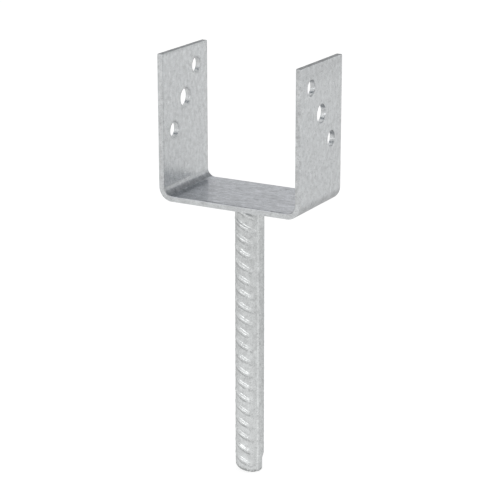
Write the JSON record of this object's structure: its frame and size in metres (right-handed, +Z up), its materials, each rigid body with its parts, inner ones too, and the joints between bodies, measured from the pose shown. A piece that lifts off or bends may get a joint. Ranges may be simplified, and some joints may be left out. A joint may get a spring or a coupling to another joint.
{
  "type": "timber post base",
  "caption": "U-shaped saddle of bent flat steel on a ribbed anchor bar: the bar is cast into a footing, and a bolt and screws through the legs hold the foot of a timber post.",
  "frame": {"origin": "middle of the saddle's underside, on the axis of the anchor bar, where the bar meets the saddle and the top of the footing or grout usually lies below", "axes": "+Z up towards the post and along the bar, X across the post from leg to leg, Y along the width of the strip"},
  "size_m": [0.109, 0.06, 0.302],
  "materials": {
    "galvanised_strip": "hot-dip galvanised flat steel, satin grey with faint mottling and draw streaks",
    "galvanised_bar": "hot-dip galvanised reinforcing bar, satin light grey",
    "galvanised_weld": "hot-dip galvanised weld, satin grey and rippled"
  },
  "bodies": {
    "root": {"saddle": "galvanised_strip", "anchor_bar": "galvanised_bar", "weld_bead": "galvanised_weld"}
  },
  "joints": []
}
